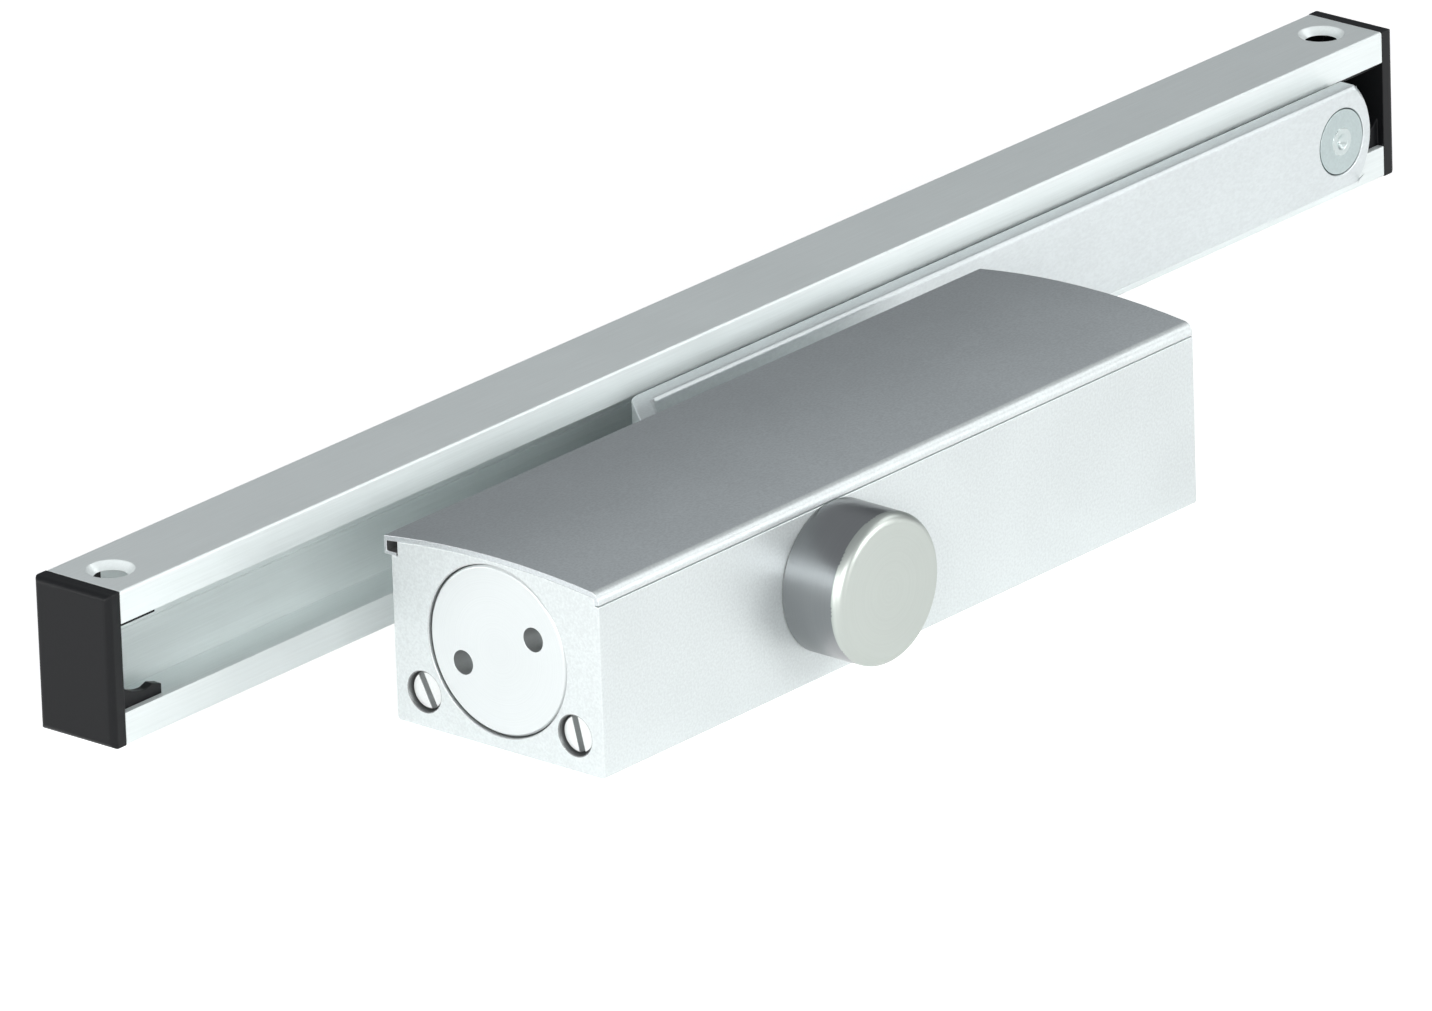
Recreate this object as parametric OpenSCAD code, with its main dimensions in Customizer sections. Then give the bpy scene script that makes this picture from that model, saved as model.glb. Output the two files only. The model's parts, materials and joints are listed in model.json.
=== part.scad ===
// Slide arm door closer: a rack-and-pinion closer body, a cranked slide arm and the track it runs in.
// The body lies with its mounting face on z = 0. X runs along the body, Y along the spindle, from the
// capped end towards the arm, and Z away from the door. The origin is the centre of the four fixing
// holes on the mounting face.

/* [Body] */
// Length of the closer body
body_length = 204; // [200:1:216]
// Width of the body, along the spindle
body_width = 60; // [59:0.5:66]
// Height of the long top edges above the mounting face
edge_height = 43.2; // [42.8:0.1:45]
// Rise of the arched top above its long edges
crown_rise = 2; // [1.6:0.1:3]
// Height of the spindle and piston axes above the mounting face
axis_height = 23; // [22.6:0.1:23.4]
// Distance of the spindle from the valve end of the body
spindle_from_end = 78; // [78:0.5:82]
// Chamfer of the long edges round the mounting face
foot_chamfer = 0.6; // [0.3:0.1:1.2]
// Bore that the piston runs in
piston_bore_d = 36; // [35:0.1:36.4]

/* [Fixing holes] */
// Distance between the fixing holes along the body
fixing_spacing_x = 140; // [136:1:150]
// Distance between the fixing holes across the body
fixing_spacing_y = 46; // [44.5:0.1:46.5]
// Diameter of a fixing hole
fixing_hole_d = 5.6; // [4.5:0.1:6.5]
// Diameter of the recess for a fixing screw's head
fixing_head_d = 9; // [8:0.1:9.4]
// Height of the seat of a fixing screw's head
fixing_seat_height = 35; // [33:0.5:38]

/* [Cover] */
// Wall of the cover
cover_wall = 1.2; // [0.9:0.1:1.4]
// Radius of the cover's rounded front edge
cover_edge_r = 2.6; // [2:0.1:3]
// Height of the seam between housing and cover
seam_height = 40.5; // [40:0.1:41]
// Open line at the seam
seam_gap = 0.3; // [0.1:0.1:0.6]
// How far the hooked rear rim stands out past the housing
hook_reach = 2; // [1.2:0.1:2.4]
// Height of the hooked rear rim
hook_height = 4.2; // [3.6:0.1:5]
// Wall of the hooked rear rim
hook_wall = 0.8; // [0.6:0.1:1]
// Depth of the housing's step under the hooked rim
hook_step = 1.8; // [1.2:0.1:2.4]

/* [End plugs] */
// Diameter of an end plug
plug_d = 39.2; // [38:0.1:39.4]
// Length of a plug's screwed part
plug_length = 10; // [8:0.5:12]
// Length of the plug's spigot in the piston bore
plug_spigot_length = 7; // [6:0.5:8]
// Diameter of the two spanner holes in a plug
spanner_hole_d = 5.6; // [4:0.1:7]
// Distance between the spanner holes
spanner_hole_spacing = 23; // [16:0.5:26]
// Tilt of the spanner holes' line
spanner_hole_tilt = -26; // [-90:1:90]
// Depth of a spanner hole
spanner_hole_depth = 6.5; // [3:0.5:7]
// Section of a plug's sealing ring
plug_ring_d = 2.4; // [1.8:0.1:3]

/* [Valves] */
// Distance between the two speed valves
valve_spacing = 43.6; // [42.6:0.1:44.6]
// Height of the speed valves above the mounting face
valve_height = 8.4; // [8:0.1:8.8]
// Diameter of a valve's slotted head
valve_head_d = 8.8; // [8:0.1:9.8]
// Depth of the valve's head below the end face
valve_recess = 1.2; // [0.4:0.1:2]
// Length of the valve's head
valve_head_length = 10; // [9:0.5:12]
// Diameter of the valve's stem
valve_stem_d = 5.2; // [4:0.1:6]
// Length of the valve's stem with its tip
valve_stem_length = 12; // [9:0.5:13]
// Width of the screwdriver slot
valve_slot_w = 1.6; // [1:0.1:2.2]
// Depth of the screwdriver slot
valve_slot_depth = 1.8; // [1:0.1:2.6]
// Turn of the closing speed valve's slot
closing_slot_turn = -27; // [-90:1:90]
// Turn of the latching speed valve's slot
latching_slot_turn = -14; // [-90:1:90]
// Section of a valve's sealing ring
valve_ring_d = 1.6; // [1.2:0.1:2]
// Diameter of the oil ports between a valve and the piston bore
port_d = 2.4; // [1.5:0.1:2.8]

/* [Rack and pinion] */
// Tooth module
gear_module = 1.35; // [1.3:0.01:1.4]
// Teeth on the pinion
pinion_teeth = 12; // [12:1:12]
// Length of the pinion's teeth
pinion_length = 19; // [16:0.5:20]
// Largest opening angle of the arm
arm_opening = 180; // [90:5:180]
// Diameter of the spindle's journals
journal_d = 15; // [14:0.1:16]
// Width across flats of the spindle's square ends
square_w = 10; // [9:0.1:10.4]
// Length of the piston's solid head at the valve end
piston_head_length = 22; // [18:0.5:22]
// Length of the piston's solid head at the spring end
piston_tail_length = 9.5; // [8:0.5:14]
// Diameter of the spring guide on the piston and on the spring seat
spring_guide_d = 22; // [18:0.5:23]
// Length of the spring guides
spring_guide_length = 6; // [4:0.5:8]

/* [Main spring] */
// Wire of the main spring
spring_wire_d = 4.6; // [4:0.1:5]
// Outside diameter of the main spring
spring_outer_d = 34.2; // [33:0.1:34.4]
// Turns of the main spring, the two closed ends included
spring_turns = 10; // [8:1:11]
// Thickness of the spring seat
spring_seat_t = 3.5; // [2.5:0.5:5]

/* [Bearings] */
// Outside diameter of a bearing cup
cup_outer_d = 21.2; // [21.2:0.1:23]
// Wall of a bearing cup
cup_wall = 1; // [0.6:0.1:1]
// Length of a bearing cup
cup_length = 7; // [6:0.5:7]
// Diameter of a needle roller
needle_d = 2; // [1.6:0.1:2]
// Needles in one bearing
needle_count = 18; // [10:1:20]
// Length of a shaft seal
seal_length = 2.6; // [2:0.1:2.8]
// Diameter of a collar's flange
collar_flange_d = 27; // [24:0.5:29]
// Thickness of a collar's flange
collar_flange_t = 2.4; // [1.6:0.1:2.4]

/* [Spindle cap] */
// Diameter of the cap
cap_d = 35; // [34:0.5:38]
// How far the cap stands out from the body
cap_length = 16.4; // [15:0.1:20]
// Wall of the cap
cap_wall = 1.8; // [1.2:0.1:2.4]
// Radius of the cap's rounded rim
cap_rim_r = 2.4; // [1.8:0.1:3.2]

/* [Arm] */
// Distance from the spindle to the slide pin
arm_length = 281; // [240:1:300]
// Width of the arm
arm_w = 24.4; // [22:0.1:25]
// Thickness of the arm
arm_t = 5; // [4.5:0.1:5.5]
// How far the arm's main length stands out from the body
arm_standoff = 21.5; // [19:0.5:23]
// Distance from the spindle to the crank's outer bend
crank_from_spindle = 33.7; // [32:0.1:40]
// Angle of the crank
crank_angle = 50; // [45:1:55]
// Middle radius of the crank's bends
crank_bend_r = 3.4; // [3.2:0.1:5]
// Distance from the slide pin to the arm's end
arm_end_reach = 11.4; // [10.6:0.1:14]
// Radius of the arm's end
arm_end_r = 16.5; // [14:0.5:20]
// Chamfer along the arm's front edges
arm_chamfer = 0.8; // [0.4:0.1:1.2]
// Diameter of the arm screw's head
arm_screw_head_d = 12.5; // [11:0.5:15]
// Thread of the arm screw
arm_screw_d = 6; // [5:0.5:6]
// Diameter of the arm washer
arm_washer_d = 20; // [17:0.5:22]
// Thickness of the arm washer
arm_washer_t = 1.6; // [1:0.1:2.5]

/* [Slider] */
// Diameter of the slide pin's head
pin_head_d = 15.6; // [15:0.1:18.2]
// Thickness of the slide pin's head
pin_head_t = 2.2; // [1.6:0.1:2.6]
// Diameter of the slide pin's shank
pin_d = 8; // [7:0.1:9]
// Diameter of the raised ring on the pin's head
pin_ring_d = 6.6; // [5:0.1:9]
// Wall of the bush in the arm
bush_wall = 1; // [0.8:0.1:1.4]
// Length of the slider block
slider_length = 22; // [16:1:24]
// Depth of the slider block inside the track
slider_depth = 12; // [9:0.5:13]
// Clearance of the slider block in the track
slider_gap = 0.4; // [0.3:0.1:0.6]

/* [Track] */
// Length of the track without its end caps
track_length = 440; // [420:1:480]
// Height of the track's section
track_h = 36; // [34:0.5:36]
// Depth of the track's section
track_d = 22; // [21.5:0.5:26]
// Wall of the track
track_wall = 1.8; // [1.5:0.1:2]
// Width of the track's slot
slot_w = 20.8; // [19:0.1:22]
// Gap between the arm and the track
track_gap = 3; // [2.5:0.1:4]
// Distance from the slide pin at rest to the track's right end
pin_to_track_end = 25.5; // [25.5:0.5:60]
// Chamfer of the track's outer edges
track_chamfer = 0.4; // [0.2:0.1:0.8]
// Height of the ledge on the inside of the track's back wall
ledge_h = 3; // [2:0.5:6]
// Thickness of the ledge
ledge_t = 0.6; // [0.3:0.1:1]
// Distance of a screw hole from the track's end
track_hole_inset = 9; // [8:0.5:10]
// Diameter of a track screw hole
track_hole_d = 5.2; // [4:0.1:5.6]
// Diameter of a countersink in the track
track_sink_d = 11; // [8:0.1:11.4]

/* [End caps] */
// Thickness of an end cap's flange
cap_flange_t = 4.2; // [2.4:0.1:5]
// Radius of the flange's outer edges
cap_flange_r = 1.7; // [0.8:0.1:2.3]
// Thickness of an end cap's tongues
tongue_t = 2.2; // [1.6:0.1:3]
// Length of the lower tongue
lower_tongue_length = 13.9; // [12.6:0.1:14.2]
// Length of the upper tongue
upper_tongue_length = 12.9; // [8:0.1:14.2]
// How far the lower tongue stands above the lower lip at its root
tongue_root_rise = 6.6; // [4:0.1:8]
// How far the lower tongue stands above the lower lip at its waist
tongue_waist_rise = 2.3; // [1.4:0.1:3.2]
// Distance of the lower tongue's waist from the flange
tongue_waist_x = 9; // [7:0.1:10]
// How far the catch near the lower tongue's tip stands above the lower lip
tongue_catch_rise = 3; // [2:0.1:4]
// Distance of the catch from the flange
tongue_catch_x = 11; // [10.4:0.1:12]
// How far the lower tongue's tip stands above the lower lip
tongue_tip_rise = 2.1; // [1.2:0.1:3]
// How far the upper tongue hangs below the upper lip
upper_tongue_drop = 1.6; // [0.4:0.1:3]
// Thickness of an end cap's web along the back wall
cap_web = 2; // [1.2:0.1:3]

/* [Clearances] */
// Radial clearance of a running fit
running = 0.05; // [0.02:0.01:0.08]
// Clearance between fixed pieces
seated = 0.02; // [0.01:0.01:0.04]
// Gap round an end plug
plug_gap = 0.3; // [0.1:0.05:0.3]
// Gap round a valve's head
valve_gap = 0.3; // [0.1:0.05:0.3]
// Gap round the slide pin's head
pin_head_gap = 0.3; // [0.2:0.05:0.5]
// Gap between an end cap's plug and the track
tongue_gap = 0.1; // [0.05:0.05:0.3]
// Gap between a turning face and its neighbour
face_gap = 0.3; // [0.2:0.05:0.4]

/* [Hidden] */
$fn = 96;

// Overrun of a cutting shape and overlap of joined shapes
cut = 1;
overlap = 0.1;
joined = 0.01;

// Play beside a sealing ring, at the ends of the main spring and between its closed turns
ring_side_gap = 0.1;
spring_end_gap = 0.1;
closed_turn_gap = 0.6;

// Play behind a valve's head and before its tip, and the edges left round its oil ports
valve_head_end_gap = 0.6;
valve_tip_gap = 1;
port_edge = 0.5;

half_l = body_length / 2;
half_w = body_width / 2;

// Arched top: one large circle through both edges and the crown
crown_height = edge_height + crown_rise;
arch_r = (half_w * half_w + crown_rise * crown_rise) / (2 * crown_rise);
function arch_z(y) = crown_height - arch_r + sqrt(arch_r * arch_r - y * y);
cover_edge_y = -half_w + cover_edge_r;
cover_edge_z = arch_z(cover_edge_y) - cover_edge_r;
hook_bottom = arch_z(half_w + hook_reach) - hook_height;
step_y = half_w - hook_step;

// Spindle and piston
spindle_x = -half_l + spindle_from_end;
bore_r = piston_bore_d / 2;
piston_r = bore_r - running;
pitch_r = gear_module * pinion_teeth / 2;
pressure_angle = 25;
addendum = gear_module;
dedendum = 1.25 * gear_module;
backlash = 0.06;
tooth_pitch = PI * gear_module;
piston_stroke = pitch_r * arm_opening * PI / 180;
pinion_tip_r = pitch_r + addendum;
window_side = 1;
window_right = spindle_x + pinion_tip_r + window_side;
window_left = spindle_x - piston_stroke - pinion_tip_r - window_side;
window_top = axis_height + pinion_tip_r + window_side / 2;
piston_left = window_left - piston_head_length;
piston_right = window_right + piston_tail_length;
plug_inner = half_l - plug_length - plug_spigot_length;
plug_recess = 0.3;
plug_chamfer = 0.5;
seat_x = plug_inner - spring_seat_t;

// Bearing stack, as distances from the body's middle plane
cup_start = bore_r + face_gap;
seal_start = cup_start + cup_length + 0.1;
collar_start = seal_start + seal_length + 0.1;
journal_r = journal_d / 2;
journal_end = half_w + collar_flange_t + face_gap;
cross_bore_r = cup_outer_d / 2 + seated;

// Arm
arm_z = axis_height;
pin_x = spindle_x + arm_length;
hub_front = half_w + collar_flange_t + 2 * face_gap;
hub_mid = hub_front + arm_t / 2;
arm_front = half_w + arm_standoff;
arm_back = arm_front + arm_t;
arm_mid = arm_front + arm_t / 2;
bend_run = (arm_mid - hub_mid) / tan(crank_angle);
bend_tangent = crank_bend_r * tan(crank_angle / 2);
outer_bend_x = spindle_x + crank_from_spindle;
inner_bend_x = outer_bend_x - bend_run;
arm_end_x = pin_x + arm_end_reach;
arm_end_chord = sqrt(arm_end_r * arm_end_r - arm_w * arm_w / 4);

// Track
track_front = arm_back + track_gap;
track_right = pin_x + pin_to_track_end;
track_left = track_right - track_length;
track_bottom = axis_height - track_h / 2;
track_inner_front = track_front + track_wall;
track_inner_back = track_front + track_d - track_wall;
slot_bottom = axis_height - slot_w / 2;
slot_top = axis_height + slot_w / 2;
inner_bottom = track_bottom + track_wall;
inner_top = track_bottom + track_h - track_wall;
track_mid = track_front + track_d / 2;
ledge_z = slot_bottom + slot_w / 4;
pin_washer_t = 1.2;
slider_front = track_inner_front + slider_gap;
slider_back = slider_front + slider_depth;
neck_front = arm_back + pin_washer_t + 2 * face_gap;
pin_r = pin_d / 2;
bush_r = pin_r + running + bush_wall;
circlip_t = 1.2;
circlip_groove = 0.8;

// Shapes along the axes
module along_x(x0, length) {
  translate([x0, 0, 0]) rotate([90, 0, 90]) linear_extrude(length) children();
}
module along_y(y0, length) {
  translate([0, y0 + length, 0]) rotate([90, 0, 0]) linear_extrude(length) children();
}
module rod_x(x0, x1, r, y, z) {
  translate([x0, y, z]) rotate([0, 90, 0]) cylinder(h = x1 - x0, r = r);
}
module rod_y(y0, y1, r, x, z) {
  translate([x, y0, z]) rotate([-90, 0, 0]) cylinder(h = y1 - y0, r = r);
}
module tube_y(y0, y1, r_out, r_in, x, z) {
  difference() {
    rod_y(y0, y1, r_out, x, z);
    rod_y(y0 - cut, y1 + cut, r_in, x, z);
  }
}
module ring_x(x, ring_r, section_r, y, z) {
  translate([x, y, z]) rotate([0, 90, 0]) rotate_extrude()
    translate([ring_r, 0]) circle(r = section_r, $fn = 32);
}
module both_sides() {
  children();
  mirror([0, 1, 0]) children();
}

// Outline of the arched top with its rounded front edge, set in by a wall
module top_outline(inset, back_y) {
  intersection() {
    translate([0, crown_height - arch_r]) circle(r = arch_r - inset, $fn = 360);
    union() {
      translate([cover_edge_y, 0]) square([back_y - cover_edge_y, crown_height + cut]);
      translate([-half_w + inset, 0]) square([cover_edge_r, cover_edge_z]);
      translate([cover_edge_y, cover_edge_z]) circle(r = cover_edge_r - inset);
    }
  }
}

module housing_outline() {
  polygon([
    [-half_w + foot_chamfer, 0], [half_w - foot_chamfer, 0], [half_w, foot_chamfer],
    [half_w, hook_bottom - seated], [step_y, hook_bottom - seated], [step_y, seam_height - seam_gap],
    [-half_w, seam_height - seam_gap], [-half_w, foot_chamfer]
  ]);
  top_outline(cover_wall + seated, step_y);
}

module plug_seat(end) {
  face = end * half_l;
  x0 = end > 0 ? face - plug_length : face - cut;
  x1 = end > 0 ? face + cut : face + plug_length;
  rod_x(x0, x1, plug_d / 2 + plug_gap, 0, axis_height);
}

module valve_bore(side) {
  y = side * valve_spacing / 2;
  head_x = -half_l + valve_recess + valve_head_length;
  neck_x = head_x + valve_head_end_gap;
  end_x = head_x + valve_stem_length + valve_tip_gap;
  rod_x(-half_l - cut, neck_x, valve_head_d / 2 + valve_gap, y, valve_height);
  rod_x(neck_x - cut, end_x, valve_stem_d / 2 + valve_gap, y, valve_height);
  // Oil ports from the valve's stem up into the piston bore
  reach = norm([y, axis_height - valve_height]) - bore_r + port_d;
  lean = atan2(-y, axis_height - valve_height);
  port_inset = port_d / 2 + port_edge;
  for (x = [port_inset - plug_inner, end_x - port_inset]) {
    translate([x, y, valve_height]) rotate([-lean, 0, 0]) cylinder(h = reach, r = port_d / 2);
  }
}

module fixing_holes() {
  for (x = [-1, 1], y = [-1, 1]) {
    translate([x * fixing_spacing_x / 2, y * fixing_spacing_y / 2, 0]) {
      translate([0, 0, -cut]) cylinder(h = crown_height + 2 * cut, r = fixing_hole_d / 2);
      translate([0, 0, fixing_seat_height]) cylinder(h = crown_height, r = fixing_head_d / 2);
    }
  }
}

module housing() {
  color("gainsboro") difference() {
    along_x(-half_l, body_length) housing_outline();
    rod_x(-half_l - cut, half_l + cut, bore_r, 0, axis_height);
    plug_seat(-1);
    plug_seat(1);
    rod_y(-half_w - cut, half_w + cut, cross_bore_r, spindle_x, axis_height);
    valve_bore(-1);
    valve_bore(1);
    fixing_holes();
  }
}

module cover_outline() {
  difference() {
    top_outline(0, half_w + hook_reach);
    top_outline(cover_wall, half_w + hook_reach - hook_wall);
    translate([-half_w - cut, -cut]) square([half_w, seam_height + cut]);
    translate([-cut, -cut]) square([half_w + hook_reach + 2 * cut, hook_bottom + cut]);
  }
  translate([step_y + face_gap, hook_bottom]) square([hook_step + hook_reach - face_gap, hook_wall]);
}

module cover() {
  color("silver") along_x(-half_l, body_length) cover_outline();
}

// An end plug with its spigot, sealing groove and spanner holes, its face at x = 0 and facing -X
module end_plug() {
  face_r = plug_d / 2;
  spigot_r = bore_r - running;
  groove_r = spigot_r - plug_ring_d;
  groove_x = plug_length + plug_spigot_length / 2;
  groove_half = plug_ring_d / 2 + ring_side_gap;
  difference() {
    rotate([0, 90, 0]) rotate_extrude() polygon([
      [0, plug_recess], [face_r - plug_chamfer, plug_recess], [face_r, plug_recess + plug_chamfer],
      [face_r, plug_length], [spigot_r, plug_length], [spigot_r, groove_x - groove_half],
      [groove_r, groove_x - groove_half], [groove_r, groove_x + groove_half],
      [spigot_r, groove_x + groove_half], [spigot_r, plug_length + plug_spigot_length],
      [0, plug_length + plug_spigot_length]
    ]);
    for (side = [-1, 1]) {
      rotate([spanner_hole_tilt, 0, 0])
        rod_x(-cut, spanner_hole_depth, spanner_hole_d / 2, side * spanner_hole_spacing / 2, 0);
    }
  }
}

module valve_end_plug() {
  color("gainsboro") translate([-half_l, 0, axis_height]) end_plug();
}

module spring_end_plug() {
  color("gainsboro") translate([half_l, 0, axis_height]) rotate([0, 0, 180]) end_plug();
}

module plug_seals() {
  ring_r = bore_r - seated - plug_ring_d / 2;
  ring_x = half_l - plug_length - plug_spigot_length / 2;
  color("dimgray") for (end = [-1, 1]) ring_x(end * ring_x, ring_r, plug_ring_d / 2, 0, axis_height);
}

module spring_seat() {
  color("silver") {
    rod_x(seat_x, plug_inner, bore_r - face_gap, 0, axis_height);
    rod_x(seat_x - spring_guide_length, seat_x + cut, spring_guide_d / 2, 0, axis_height);
  }
}

// Main spring: one tube wound round X, closed at both ends
spring_left = piston_right + spring_end_gap;
spring_right = seat_x - spring_end_gap;
spring_mid_r = (spring_outer_d - spring_wire_d) / 2;
end_pitch = spring_wire_d + closed_turn_gap;
spring_run = spring_right - spring_left - spring_wire_d;
open_pitch = (spring_run - 2 * end_pitch) / (spring_turns - 2);
rings_a_turn = 8;
ring_count = spring_turns * rings_a_turn + 1;
function spring_x(t) =
  t < 1 ? end_pitch * t
  : t < spring_turns - 1 ? end_pitch + open_pitch * (t - 1)
  : end_pitch + open_pitch * (spring_turns - 2) + end_pitch * (t - spring_turns + 1);
function spring_point(i) =
  let (t = i / rings_a_turn)
  [spring_left + spring_wire_d / 2 + spring_x(t), spring_mid_r * cos(360 * t), spring_mid_r * sin(360 * t)];
spring_points = [for (i = [0 : ring_count - 1]) spring_point(i)];
spring_gap = min([for (i = [0 : ring_count - 1 - rings_a_turn])
  norm(spring_points[i + rings_a_turn] - spring_points[i])]) - spring_wire_d;
echo(str("main spring, least gap between turns: ", spring_gap, " mm"));

module main_spring() {
  sides = 6;
  ring_points = [for (i = [0 : ring_count - 1])
    let (turn = 360 * i / rings_a_turn, out = [0, cos(turn), sin(turn)])
    for (s = [0 : sides - 1])
      spring_points[i] + spring_wire_d / 2 * (cos(360 * s / sides) * out + sin(360 * s / sides) * [1, 0, 0])];
  walls = [for (i = [0 : ring_count - 2], s = [0 : sides - 1])
    let (a = i * sides + s, b = i * sides + (s + 1) % sides)
    each [[a, a + sides, b], [b, a + sides, b + sides]]];
  first_end = [for (s = [1 : sides - 2]) [0, s, s + 1]];
  last = (ring_count - 1) * sides;
  last_end = [for (s = [1 : sides - 2]) [last, last + s + 1, last + s]];
  color("slategray") translate([0, 0, axis_height])
    polyhedron(points = ring_points, faces = concat(walls, first_end, last_end));
}

module bearing_cups() {
  cup_r = cup_outer_d / 2;
  color("silver") both_sides()
    tube_y(cup_start, cup_start + cup_length, cup_r, cup_r - cup_wall, spindle_x, axis_height);
}

module bearing_needles() {
  orbit = journal_r + seated + needle_d / 2;
  end_gap = 0.7;
  color("gray") both_sides() for (i = [0 : needle_count - 1]) {
    a = 360 * i / needle_count;
    rod_y(cup_start + end_gap, cup_start + cup_length - end_gap, needle_d / 2,
      spindle_x + orbit * cos(a), axis_height + orbit * sin(a), $fn = 24);
  }
}

module shaft_seals() {
  seal_r = cup_outer_d / 2;
  color("dimgray") both_sides()
    tube_y(seal_start, seal_start + seal_length, seal_r, journal_r + running, spindle_x, axis_height);
}

module bearing_collars() {
  collar_end = half_w + collar_flange_t;
  color("silver") both_sides() difference() {
    union() {
      rod_y(collar_start, half_w + cut, cup_outer_d / 2, spindle_x, axis_height);
      rod_y(half_w, collar_end, collar_flange_d / 2, spindle_x, axis_height);
    }
    rod_y(collar_start - cut, collar_end + cut, journal_r + 2 * running, spindle_x, axis_height);
  }
}

// Cap over the unused end of the spindle, gripping the collar's flange
module spindle_cap() {
  r = cap_d / 2;
  grip_r = collar_flange_d / 2 + seated;
  color("darkgray") translate([spindle_x, -half_w, axis_height]) rotate([90, 0, 0]) rotate_extrude()
    difference() {
      union() {
        square([r, cap_length - cap_rim_r]);
        square([r - cap_rim_r, cap_length]);
        translate([r - cap_rim_r, cap_length - cap_rim_r]) circle(r = cap_rim_r, $fn = 48);
      }
      translate([-r, -cut]) square([r + grip_r, collar_flange_t + cut]);
      translate([-r, collar_flange_t])
        square([2 * r - cap_wall, cap_length - collar_flange_t - cap_wall - cap_rim_r / 2]);
      translate([-2 * r, -cut]) square([2 * r, cap_length + 2 * cut]);
    }
}

valve_face_x = -half_l + valve_recess;
valve_groove_x = valve_head_length * 0.6;
valve_chamfer = 0.3;
valve_groove_r = valve_head_d / 2 + valve_gap - valve_ring_d;

// Speed valve: slotted head, sealing groove, stem and needle tip, its head's face at x = 0
module speed_valve(slot_turn) {
  head_r = valve_head_d / 2;
  stem_r = valve_stem_d / 2;
  groove_left = valve_groove_x - valve_ring_d / 2 - ring_side_gap;
  groove_right = valve_groove_x + valve_ring_d / 2 + ring_side_gap;
  tip = valve_stem_length / 3;
  end_x = valve_head_length + valve_stem_length;
  difference() {
    rotate([0, 90, 0]) rotate_extrude() polygon([
      [0, 0], [head_r - valve_chamfer, 0], [head_r, valve_chamfer],
      [head_r, groove_left], [valve_groove_r, groove_left], [valve_groove_r, groove_right],
      [head_r, groove_right], [head_r, valve_head_length], [stem_r, valve_head_length],
      [stem_r, end_x - tip], [stem_r / 4, end_x], [0, end_x]
    ]);
    rotate([slot_turn, 0, 0]) translate([-cut, -valve_slot_w / 2, -head_r - cut])
      cube([valve_slot_depth + cut, valve_slot_w, 2 * head_r + 2 * cut]);
  }
}

module valve_ring(side) {
  section_r = valve_ring_d / 2 - running;
  ring_x(valve_face_x + valve_groove_x, valve_groove_r + seated + section_r, section_r,
    side * valve_spacing / 2, valve_height);
}

module closing_speed_valve() {
  color("silver") translate([valve_face_x, valve_spacing / 2, valve_height])
    speed_valve(closing_slot_turn);
}

module closing_valve_seal() {
  color("dimgray") valve_ring(1);
}

module latching_speed_valve() {
  color("silver") translate([valve_face_x, -valve_spacing / 2, valve_height])
    speed_valve(latching_slot_turn);
}

module latching_valve_seal() {
  color("dimgray") valve_ring(-1);
}

// Rack teeth as the outline of the space between and above them
pitch_line = axis_height - pitch_r;
rack_half = tooth_pitch / 4 - backlash / 2;
tip_half = rack_half - addendum * tan(pressure_angle);
root_half = rack_half + dedendum * tan(pressure_angle);
first_space = ceil((window_left - spindle_x + tooth_pitch / 2) / tooth_pitch);
last_space = floor((window_right - spindle_x - tooth_pitch / 2 + tip_half) / tooth_pitch);
rack_width = pinion_length - 2 * face_gap;
root_line = pitch_line - dedendum;

module window_outline() {
  polygon([
    [window_left, window_top],
    [window_left, pitch_line + addendum],
    for (k = [first_space : last_space])
      let (x = spindle_x + k * tooth_pitch)
      each [
        [x - tooth_pitch / 2 + tip_half, pitch_line + addendum],
        [x - tooth_pitch / 2 + root_half, root_line],
        [x + tooth_pitch / 2 - root_half, root_line],
        [x + tooth_pitch / 2 - tip_half, pitch_line + addendum]
      ],
    [window_right, pitch_line + addendum],
    [window_right, window_top]
  ]);
}

check_bore_d = 6;
check_ball_d = 5;
check_bore_depth = 14;
check_retainer_t = 1.5;
retainer_inset = 1;
relief_offset = 11;
relief_ball_d = 4;
relief_bore_d = 5;
relief_screw_inset = 0.5;
relief_slot_w = 1;
relief_slot_depth = 1.2;
ball_gap = 0.05;

module piston() {
  color("lightsteelblue") difference() {
    union() {
      rod_x(piston_left, piston_right, piston_r, 0, axis_height);
      rod_x(piston_right - cut, piston_right + spring_guide_length, spring_guide_d / 2, 0, axis_height);
    }
    along_y(-rack_width / 2, rack_width) window_outline();
    // Beside the rack the window is cut down to the teeth's root line, clear of the pinion's ends
    both_sides() translate([window_left, rack_width / 2 - joined, root_line])
      cube([window_right - window_left, bore_r, window_top - root_line]);
    // Check valve in the head, relief valve beside it
    rod_x(piston_left - cut, piston_left + check_bore_depth, check_bore_d / 2, 0, axis_height);
    rod_x(piston_left, window_left + cut, check_ball_d / 4, 0, axis_height);
    rod_x(piston_left - cut, piston_left + check_bore_depth, relief_bore_d / 2, relief_offset, axis_height);
    rod_x(piston_left, window_left + cut, relief_ball_d / 4, relief_offset, axis_height);
  }
}

module check_valve_ball() {
  color("gray") translate([piston_left + check_bore_depth - check_ball_d / 2 - ball_gap, 0, axis_height])
    sphere(d = check_ball_d, $fn = 48);
}

module check_valve_retainer() {
  x0 = piston_left + retainer_inset;
  color("silver") difference() {
    rod_x(x0, x0 + check_retainer_t, check_bore_d / 2 - seated, 0, axis_height);
    rod_x(x0 - cut, x0 + check_retainer_t + cut, check_ball_d / 3, 0, axis_height);
  }
}

module relief_valve_ball() {
  ball_x = piston_left + check_bore_depth - relief_ball_d / 2 - ball_gap;
  color("gray") translate([ball_x, relief_offset, axis_height]) sphere(d = relief_ball_d, $fn = 48);
}

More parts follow.
